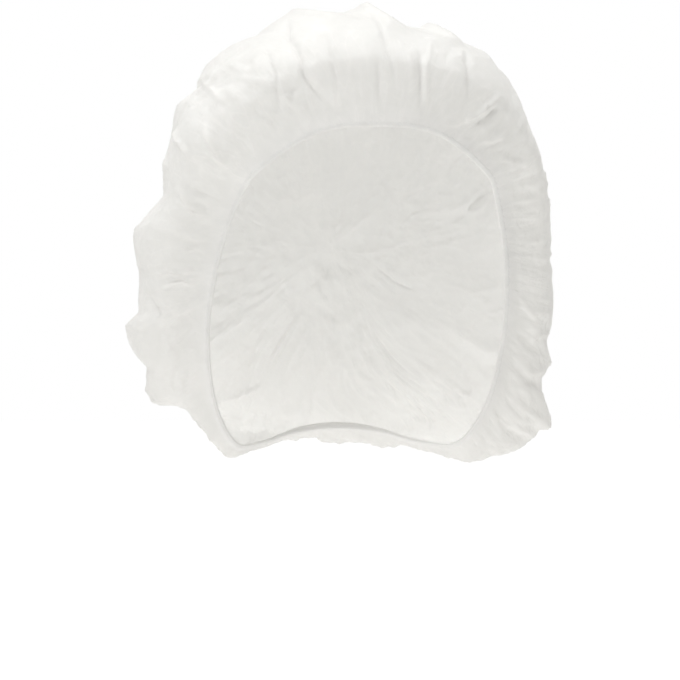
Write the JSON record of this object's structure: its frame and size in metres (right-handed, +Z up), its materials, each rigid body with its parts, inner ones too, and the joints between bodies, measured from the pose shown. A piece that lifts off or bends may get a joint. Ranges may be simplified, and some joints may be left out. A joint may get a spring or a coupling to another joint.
{
  "type": "disposable bouffant cap (hairnet)",
  "caption": "Puffed disposable nonwoven head cap, gathered onto a narrow elasticated hem round the face and nape, in its worn form.",
  "frame": {"origin": "the inner top of the crown, where the top of the wearer's head carries the cap", "axes": "+Z up, -Y out of the face opening towards the front, +X to the wearer's left"},
  "size_m": [0.2084, 0.2236, 0.2214],
  "materials": {
    "crown_nonwoven": "white spunbond polypropylene, thin and slightly see-through",
    "hem_nonwoven": "the same white nonwoven, doubled over",
    "elastic_rubber": "flat off-white elastic"
  },
  "bodies": {
    "root": {"crown": "crown_nonwoven", "hem": "hem_nonwoven", "elastic": "elastic_rubber"}
  },
  "joints": []
}
